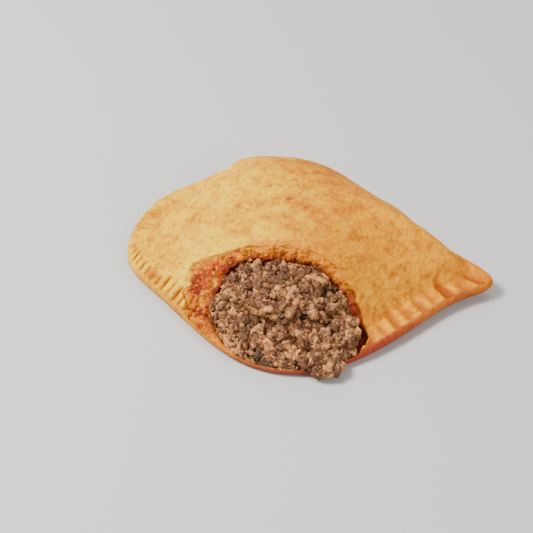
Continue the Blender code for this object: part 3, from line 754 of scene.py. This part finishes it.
class Wire:
    """One output of a node. Sums, differences and products of it add Math nodes."""

    def __init__(self, finish, socket):
        self.finish = finish
        self.socket = socket

    def maths(self, operation, first, second=0.0):
        return self.finish.node("ShaderNodeMath", {"operation": operation}, {0: first, 1: second})

    def __add__(self, other):
        return self.maths("ADD", self, other)

    def __sub__(self, other):
        return self.maths("SUBTRACT", self, other)

    def __mul__(self, other):
        return self.maths("MULTIPLY", self, other)

    def __rsub__(self, other):
        return self.maths("SUBTRACT", other, self)

    __radd__ = __add__
    __rmul__ = __mul__

    def smooth(self, low, high):
        """0 below low, 1 above high, an S curve between."""
        settings = {"interpolation_type": "SMOOTHSTEP"}
        return self.finish.node("ShaderNodeMapRange", settings, {0: self, 1: low, 2: high, 3: 0.0, 4: 1.0})


class Finish:
    """A material with its Principled shader, and methods that add nodes to it."""

    def __init__(self, name, **constants):
        self.material = bpy.data.materials.new(name)
        self.material.use_nodes = True
        self.tree = self.material.node_tree
        self.shader = self.tree.nodes["Principled BSDF"]
        for label, value in constants.items():
            self.shader.inputs[label.replace("_", " ")].default_value = value
        self.place = self.node("ShaderNodeTexCoord", {}, {}, "Object")

    def node(self, kind, settings, sockets, output=0):
        made = self.tree.nodes.new(kind)
        for label, value in settings.items():
            setattr(made, label, value)
        for label, value in sockets.items():
            self.feed(made.inputs[label], value)
        return Wire(self, made.outputs[output])

    def feed(self, socket, value):
        if isinstance(value, Wire):
            self.tree.links.new(value.socket, socket)
        else:
            socket.default_value = value

    def axis(self, letter):
        """One coordinate of the shaded point, in metres."""
        return self.node("ShaderNodeSeparateXYZ", {}, {0: self.place}, letter)

    def noise(self, size, detail=2.0, roughness=0.5):
        """Fractal noise of a size in metres, from 0 to 1."""
        sockets = {"Vector": self.place, "Scale": 1.0 / size, "Detail": detail, "Roughness": roughness}
        return self.node("ShaderNodeTexNoise", {}, sockets)

    def bubbles(self, size):
        """Distance to the nearest of scattered points, in cells of a size in metres."""
        sockets = {"Vector": self.place, "Scale": 1.0 / size}
        return self.node("ShaderNodeTexVoronoi", {"feature": "F1"}, sockets)

    def layer(self, name):
        """A number that the mesh carries for each point."""
        return self.node("ShaderNodeAttribute", {"attribute_name": name}, {}, "Fac")

    def mix(self, first, second, share):
        return self.node("ShaderNodeMix", {"data_type": "RGBA"}, {0: share, 6: first, 7: second}, 2)

    def paint(self, colour, *coats):
        """Lays coats over a colour in their order, each a tone and the share of it."""
        for tone, share in coats:
            colour = self.mix(colour, tone, share)
        return colour

    def bump(self, height, distance, strength=1.0):
        sockets = {"Height": height, "Distance": distance, "Strength": strength}
        return self.node("ShaderNodeBump", {}, sockets)

    def end(self, **links):
        for label, value in links.items():
            self.feed(self.shader.inputs[label.replace("_", " ")], value)
        return self.material


def tint(red, green, blue):
    """A colour from its display values, 0 to 255, as the shader's linear ones."""
    display = np.array([red, green, blue]) / 255.0
    linear = np.where(display <= 0.04045, display / 12.92, ((display + 0.055) / 1.055) ** 2.4)
    return (*linear.tolist(), 1.0)


PALE = tint(255, 195, 0)
GOLD = tint(216, 136, 0)
AMBER = tint(240, 156, 0)
DEEP = tint(184, 94, 0)
BROWNED = tint(146, 56, 12)
CREAM = tint(255, 215, 36)
RIM_REFLECTION_RED = tint(146, 28, 44)
TORN_GOLD = tint(230, 136, 4)
TORN_ORANGE = tint(198, 96, 10)
TORN_RED = tint(150, 40, 32)
TORN_PALE = tint(236, 170, 50)
TORN_MAROON = tint(112, 28, 32)
TORN_DARK = tint(92, 20, 22)
MEAT_DARK = tint(26, 12, 9)
MEAT = tint(110, 64, 34)
MEAT_PALE = tint(244, 172, 106)
MEAT_GREY = tint(92, 68, 42)
PAPER = tint(206, 205, 202)
PAPER_PALE = tint(212, 211, 209)

# Pinholes, stains, pale flecks and two cream painted highlights: for each colour, plan points and radii in
# mm, with their strength
MARKS = (
    (TORN_RED, (
        (-41.3, 16.9, 0.9, 0.7), (-19.4, 14.3, 1.2, 0.7), (-8.9, 10.1, 1.6, 0.7), (-0.9, 8.9, 1.6, 0.7),
    )),
    (TORN_MAROON, (
        (-31.6, -26.8, 2.8, 0.75), (-28.8, -28.9, 2.6, 0.75), (-24.1, -37.4, 3.0, 0.75),
        (-20.8, -37.9, 2.4, 0.7), (-21.6, -28.0, 2.2, 0.7), (-19.8, -21.2, 2.0, 0.75),
        (-18.2, -19.4, 2.0, 0.75), (-11.8, -16.6, 2.0, 0.6), (0.6, -12.6, 1.8, 0.55), (4.4, -12.0, 1.8, 0.6),
    )),
    (TORN_PALE, (
        (-26.4, -29.4, 1.1, 0.8), (-26.0, -31.2, 1.1, 0.8), (-25.2, -32.8, 1.0, 0.8),
        (-23.2, -25.4, 1.2, 0.8), (-22.4, -26.6, 1.0, 0.8),
    )),
    # Painted highlights: cream spots on the bulging skin at the left end of the bite
    (CREAM, ((-36.6, -24.7, 3.0, 0.7), (-35.0, -28.0, 2.4, 0.7))),
)
# Direction in plan that runs to the right in the photo's view
SCREEN_RIGHT = (0.889, 0.458)


def crust_finish():
    """Baked pastry: pale at the left and deeper gold to the right, partly browning and partly painted light;
    browned in the crimps and at the base, with painted shade in the grooves, painted highlights on the ridges
    and a painted red reflection along the rim.

    The torn wall has colours of its own, with painted shade towards its foot, and small marks, some of them
    painted highlights, lie over both.
    """
    finish = Finish("baked_pastry_look", Specular_IOR_Level=0.1)
    across = finish.axis("X")
    height = finish.axis("Z")
    screen = across * SCREEN_RIGHT[0] + finish.axis("Y") * SCREEN_RIGHT[1]
    blotch = finish.noise(26.0 * MM, 3.0, 0.6)
    mottle = finish.noise(6.0 * MM, 4.0, 0.7)
    fleck = finish.noise(1.9 * MM, 3.0, 0.65)
    grit = finish.noise(1.3 * MM, 3.0, 0.6)
    near, groove, inset, front, under, depth, into, torn = [finish.layer(name) for name in (
        "lip_near", "groove", "inset", "front", "under", "depth", "into", "torn")]

    # The skin: its tone by the way across the picture, paler at the left and warmer to the lower right,
    # partly browning and partly painted light; then blotches, mottling and flecks
    right = (screen + (blotch - 0.5) * 0.06).smooth(-0.045, 0.018)
    colour = finish.paint(
        # Painted light: the pale left stands in for the key light and sheen from the upper left
        finish.mix(PALE, GOLD, right),
        # Painted light: a brighter, warmer tone at the lower right where less light falls
        (AMBER, (screen + (blotch - 0.5) * 0.04).smooth(0.012, 0.04)),
        (GOLD, blotch.smooth(0.42, 0.62) * (0.6 - 0.6 * right)),
        (DEEP, mottle.smooth(0.46, 0.66) * (0.5 + 0.2 * right)),
        # Cream mottles and flecks, stronger at the left, are partly a painted sheen
        (CREAM, mottle.smooth(0.5, 0.32) * (0.55 - 0.4 * right)),
        (CREAM, fleck.smooth(0.52, 0.72) * (0.65 - 0.4 * right)),
        (DEEP, fleck.smooth(0.48, 0.28) * 0.75),
        # Painted shade: darker towards the tip at the far right
        (DEEP, (screen + (blotch - 0.5) * 0.02).smooth(0.052, 0.082) * 0.85),
    )
    # The crumbly lip of the bite, and its paler stretch at the left, partly a painted highlight on the
    # bulging ridge there
    west = across.smooth(-0.01, -0.024)
    crumbly = (near + (mottle - 0.5) * 0.9).smooth(0.3, 0.7) * (1.0 - west)
    colour = finish.paint(
        colour,
        (GOLD, crumbly * 0.85),
        (TORN_RED, crumbly * fleck.smooth(0.5, 0.34) * 0.45),
        (AMBER, crumbly * fleck.smooth(0.52, 0.66) * 0.7),
        # Partly painted highlight: cream by the lip at the left
        (CREAM, near.smooth(0.1, 0.8) * west * fleck.smooth(0.35, 0.6) * 0.6),
    )
    # Fork crimps: cream painted highlights on the ridges, and grooves browned and darkened further by painted
    # shade; then the base and the edge of the rim
    band = inset.smooth(0.8, 2.5) * inset.smooth(12.0, 3.0) * finish.layer("crimped")
    ridge_highlight = band * groove.smooth(0.25, 0.0) * fleck.smooth(0.3, 0.6) * (1.0 - near)
    streak = (groove * (1.0 + 0.5 * front) + (fleck - 0.5) * 0.8).smooth(0.4, 1.0)
    edge = 1.0 - inset.smooth(0.2, 3.6)
    colour = finish.paint(
        colour,
        # Painted highlight on the crimp ridges; the grooves below are partly browning and partly painted
        # shade
        (CREAM, ridge_highlight * (0.6 - 0.4 * front)),
        (DEEP, groove.smooth(0.05, 0.4) * 0.7),
        (BROWNED, streak * (0.5 + 0.2 * front)),
        (BROWNED, under * (0.45 + 0.3 * mottle)),
        (BROWNED, (height + (mottle - 0.5) * 4.0 * MM).smooth(4.5 * MM, 0.5 * MM) * 0.55),
        (BROWNED, height.smooth(1.6 * MM, 0.4 * MM) * 0.7),
        # Painted reflection: a red edge along the rim at the lower right and towards the tip
        (RIM_REFLECTION_RED, (edge + (mottle - 0.5) * 0.6).smooth(0.25, 0.8) * finish.layer("rim_reflection")),
    )
    # The torn wall: orange on the ledge at the left, maroon at the right, with pale layers, grit and painted
    # shade
    low = depth + (grit - 0.5) * 0.7
    east = (across + (grit - 0.5) * 0.006).smooth(0.022, 0.031)
    leaves = (finish.layer("steps") * 0.5 + finish.layer("strands") * 0.5).smooth(0.6, 0.95)
    inner = finish.paint(
        finish.mix(TORN_GOLD, TORN_ORANGE, west * into.smooth(0.5, 5.0)),
        (TORN_RED, finish.noise(5.5 * MM, 3.0, 0.6).smooth(0.48, 0.6) * (0.2 + 0.35 * west)),
        (TORN_RED, low.smooth(0.5, 0.9) * (0.65 - 0.45 * west)),
        (TORN_DARK, finish.noise(3.0 * MM, 3.0, 0.6).smooth(0.56, 0.64) * (0.3 + 0.5 * west)),
        # Painted shade and light: at the right, darker at the lit top of the wall and redder lower down in
        # its shade
        (finish.mix(TORN_DARK, TORN_RED, depth.smooth(0.3, 1.0)), east * 0.9),
        (TORN_PALE, leaves * (0.8 - 0.7 * east)),
        (TORN_PALE, grit.smooth(0.54, 0.68) * (0.8 - 0.7 * east)),
        (TORN_RED, grit.smooth(0.46, 0.34) * (0.45 + 0.4 * west)),
        # Painted shade: darker towards the foot of the wall and in the drop below it
        (TORN_DARK, low.smooth(0.75, 1.1) * (0.85 - 0.85 * east)),
    )
    colour = finish.paint(
        colour,
        (AMBER, near.smooth(0.85, 1.0) * 0.6),
        (TORN_RED, near.smooth(0.75, 1.0) * (mottle.smooth(0.4, 0.6) * 0.2)),
        (inner, (into + (mottle - 0.5) * 1.6).smooth(0.0, 0.9) * torn),
        (TORN_RED, into.smooth(1.4, 0.2) * torn * 0.12),
    )
    flatten = {0: finish.place, 1: (1.0, 1.0, 0.0)}
    plan = finish.node("ShaderNodeVectorMath", {"operation": "MULTIPLY"}, flatten)
    for tone, spots in MARKS:
        for x, y, size, share in spots:
            sockets = {0: plan, 1: (x * MM, y * MM, 0.0)}
            away = finish.node("ShaderNodeVectorMath", {"operation": "DISTANCE"}, sockets, "Value")
            ragged = (fleck - 0.5) * 1.6 * MM + (grit - 0.5) * size * 2.2 * MM
            mark = (away + ragged).smooth(size * MM, 0.4 * size * MM)
            colour = finish.mix(colour, tone, mark * (1.0 - under) * share)
    rough = fleck * 0.8 + mottle * 1.0 + finish.bubbles(1.8 * MM) * -0.6 + grit * torn * 1.2
    grain = finish.bump(rough, 0.5 * MM, 0.9)
    return finish.end(Base_Color=colour, Roughness=0.45 + 0.25 * fleck + torn * 0.15, Normal=grain)


def mince_finish():
    """Cooked minced beef: grey-brown with paler pinkish lumps, with painted shade in the gaps and under the
    crumbs, moist on top.
    """
    finish = Finish("minced_beef_look", Specular_IOR_Level=0.4)
    tone = finish.layer("tone")
    hollow = finish.layer("hollow")
    patch = finish.noise(3.5 * MM, 3.0, 0.6)
    fine = finish.noise(1.1 * MM, 4.0, 0.7)
    colour = finish.paint(
        finish.mix(MEAT, MEAT_PALE, (patch + (tone - 0.5) * 0.4).smooth(0.42, 0.75)),
        (MEAT_GREY, finish.noise(6.0 * MM, 2.0).smooth(0.48, 0.68) * 0.55),
        (MEAT_PALE, fine.smooth(0.54, 0.72) * 0.75),
        (MEAT_DARK, fine.smooth(0.49, 0.33) * 0.9),
        # Painted shade: darker in the hollows between lumps and on the crumbs' undersides
        (MEAT_DARK, (hollow + (fine - 0.5) * 0.4).smooth(0.2, 0.8) * 0.88),
    )
    bump = finish.bump(fine * 1.2 + finish.bubbles(1.0 * MM) * -0.8, 0.45 * MM, 1.0)
    return finish.end(Base_Color=colour, Roughness=0.38 + 0.3 * patch, Normal=bump)


def soft_light(name, place, size, power, colour):
    """A square soft box at a place, facing the pie."""
    lamp = bpy.data.lights.new(name, "AREA")
    lamp.size = size
    lamp.energy = power
    lamp.color = colour
    light = bpy.data.objects.new(name, lamp)
    light.location = place
    light.rotation_euler = mathutils.Vector(VIEW_TARGET - place).to_track_quat("-Z", "Y").to_euler()
    bpy.context.scene.collection.objects.link(light)


def studio():
    """A pale floor, three soft boxes, an even sky and the camera at the photo's angle."""
    scene = bpy.context.scene
    back = np.array([np.sin(VIEW_TURN) * np.cos(VIEW_RISE), -np.cos(VIEW_TURN) * np.cos(VIEW_RISE),
                     np.sin(VIEW_RISE)])
    right = np.array([np.cos(VIEW_TURN), np.sin(VIEW_TURN), 0.0])
    up = np.cross(back, right)
    lens = bpy.data.cameras.new("camera")
    lens.lens = VIEW_LENS
    lens.sensor_width = VIEW_SENSOR
    lens.clip_start = 10.0 * MM
    camera = bpy.data.objects.new("camera", lens)
    turn = mathutils.Matrix([[right[k], up[k], back[k]] for k in range(3)])
    camera.matrix_world = mathutils.Matrix.Translation(VIEW_TARGET + VIEW_DISTANCE * back) @ turn.to_4x4()
    scene.collection.objects.link(camera)
    scene.camera = camera

    away = np.array([-right[1], right[0], 0.0])
    for name, (aside, beyond, high), size, power, colour in LIGHTS:
        soft_light(name, aside * right + beyond * away + np.array([0.0, 0.0, high]), size, power, colour)
    scene.world = bpy.data.worlds.new("sky")
    scene.world.use_nodes = True
    sky = scene.world.node_tree.nodes["Background"]
    sky.inputs["Color"].default_value = SKY_COLOUR
    sky.inputs["Strength"].default_value = SKY_STRENGTH

    corners = PAPER_HALF * np.array([(-1.0, -1.0, 0.0), (1.0, -1.0, 0.0), (1.0, 1.0, 0.0), (-1.0, 1.0, 0.0)])
    corners[:, 2] = -PAPER_DROP
    floor = bpy.data.objects.new("floor", mesh_from("floor", corners, np.arange(4), np.array([4])))
    scene.collection.objects.link(floor)
    paper = Finish("paper_floor", Roughness=0.85)
    tone = paper.noise(0.4, 2.0)
    floor.data.materials.append(paper.end(Base_Color=paper.mix(PAPER, PAPER_PALE, tone)))


def add_piece(piece, node, material):
    """Links a piece, gives it its finish, parents it to the root body and hides the CAD part it stands in
    for.
    """
    bpy.context.scene.collection.objects.link(piece)
    piece.data.materials.append(material)
    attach(piece, "root")
    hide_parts(node)


studio()
pastry = crust_finish()
beef = mince_finish()
add_piece(crust_piece(), "crust", pastry)
add_piece(mince_core(), "filling", beef)
# Sets of crumbs: name, count, least and greatest radius, rings, lines, roughness, share sunk and seed
lumps = [
    ("mince_chunks", 64, 1.7 * MM, 3.6 * MM, 22, 30, 1.0, 0.4, 101),
    ("mince_crumbs", 620, 0.9 * MM, 2.2 * MM, 10, 14, 0.9, 0.2, 111),
    ("mince_grains", 1300, 0.35 * MM, 0.9 * MM, 6, 8, 0.7, 0.1, 121),
]
for values in lumps:
    add_piece(mince_lumps(*values), "filling", beef)
add_piece(mince_spill("mince_spill", 84, 131), "filling", beef)
